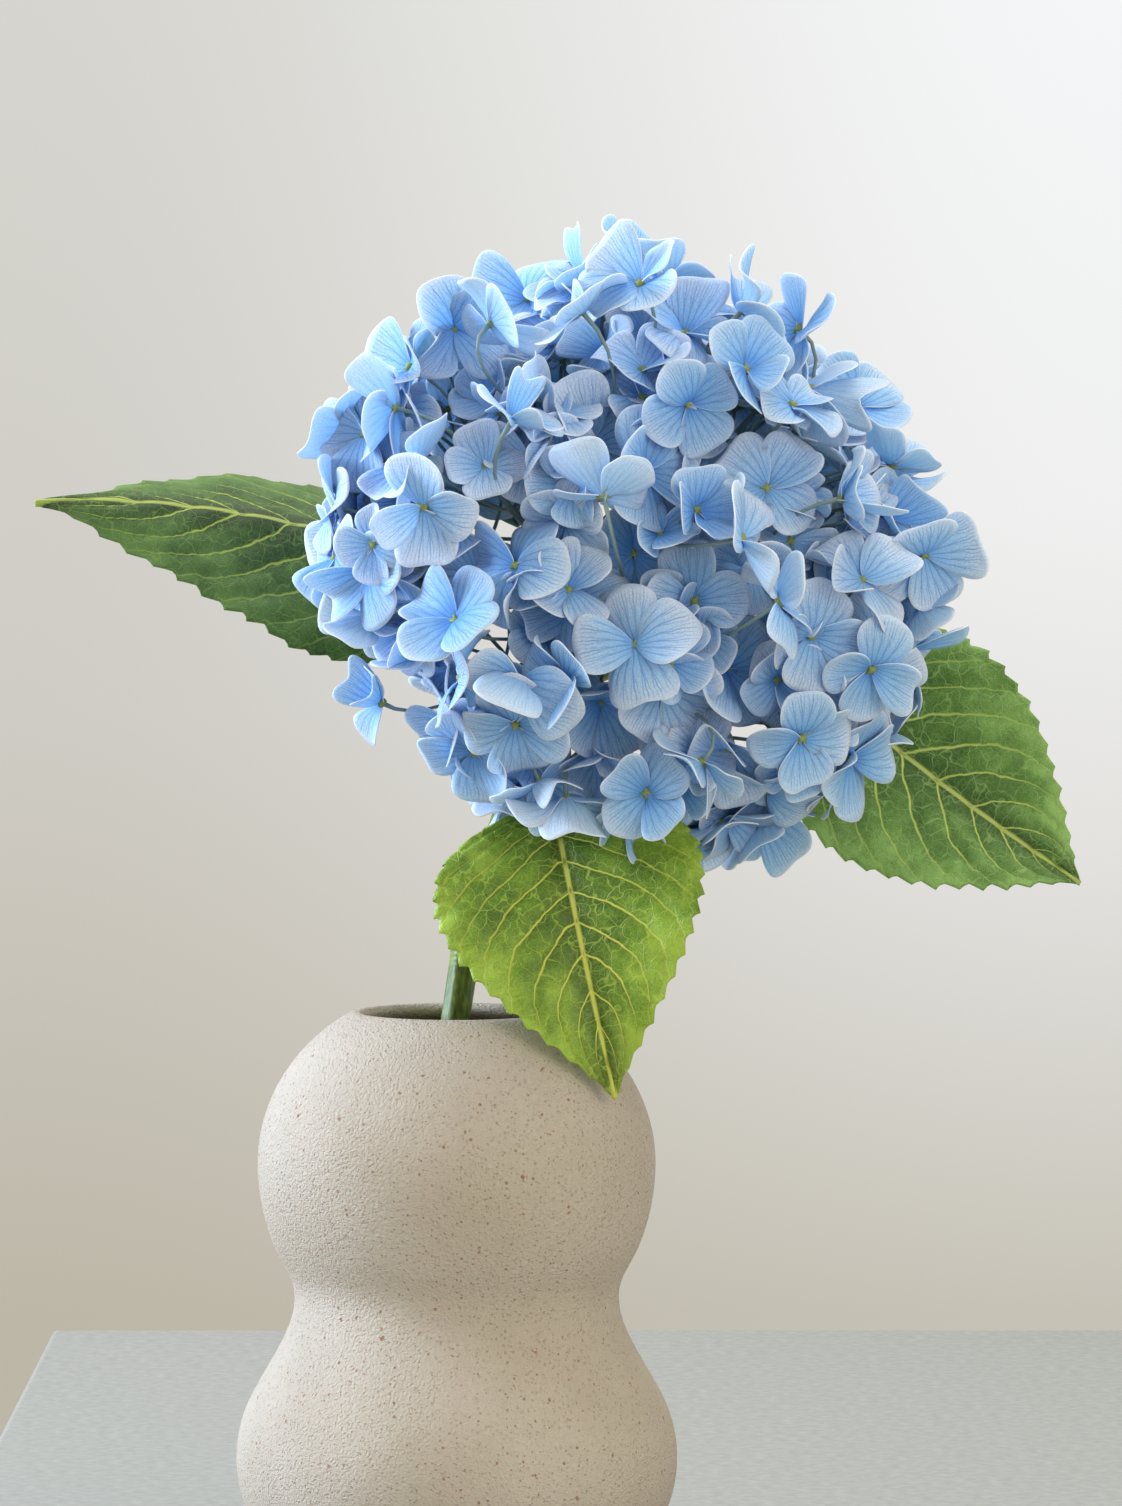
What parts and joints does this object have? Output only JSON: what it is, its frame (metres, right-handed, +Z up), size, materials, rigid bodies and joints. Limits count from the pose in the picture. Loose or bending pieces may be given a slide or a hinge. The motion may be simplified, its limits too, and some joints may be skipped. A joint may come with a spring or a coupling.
{
  "type": "hydrangea stem in a vase",
  "caption": "Blue mophead hydrangea on a leafy cut stem, standing in a speckled cream stoneware vase of two stacked bulbs.",
  "frame": {"origin": "centre of the vase's foot, on the surface that it stands on", "axes": "+Z up, -Y to the front, where the flower head looks, +X to the right, where the stem and the head lean"},
  "size_m": [0.3037, 0.199, 0.4058],
  "materials": {
    "stoneware": "matte",
    "stem": "satin",
    "leaf": "satin",
    "stalk": "satin",
    "petal": "matte"
  },
  "bodies": {
    "root": {"vase": "stoneware", "stem": "stem", "leaf_left": "leaf", "leaf_right": "leaf", "leaf_front": "leaf", "branch_1": "stalk", "branch_2": "stalk", "branch_3": "stalk", "branch_4": "stalk", "branch_5": "stalk", "branch_6": "stalk", "branch_7": "stalk", "branch_8": "stalk", "branch_9": "stalk", "sprig_01": "petal", "sprig_02": "petal", "sprig_03": "petal", "sprig_04": "petal", "sprig_05": "petal", "sprig_06": "petal", "sprig_07": "petal", "sprig_08": "petal", "sprig_09": "petal", "sprig_10": "petal", "sprig_11": "petal", "sprig_12": "petal", "sprig_13": "petal", "sprig_14": "petal", "sprig_15": "petal", "sprig_16": "petal", "sprig_17": "petal", "sprig_18": "petal", "sprig_19": "petal", "sprig_20": "petal", "sprig_21": "petal", "sprig_22": "petal", "sprig_23": "petal", "sprig_24": "petal", "sprig_25": "petal", "sprig_26": "petal", "sprig_27": "petal", "sprig_28": "petal", "sprig_29": "petal", "sprig_30": "petal", "sprig_31": "petal", "sprig_32": "petal", "sprig_33": "petal", "sprig_34": "petal", "sprig_35": "petal", "sprig_36": "petal", "sprig_37": "petal", "sprig_38": "petal"}
  },
  "joints": []
}
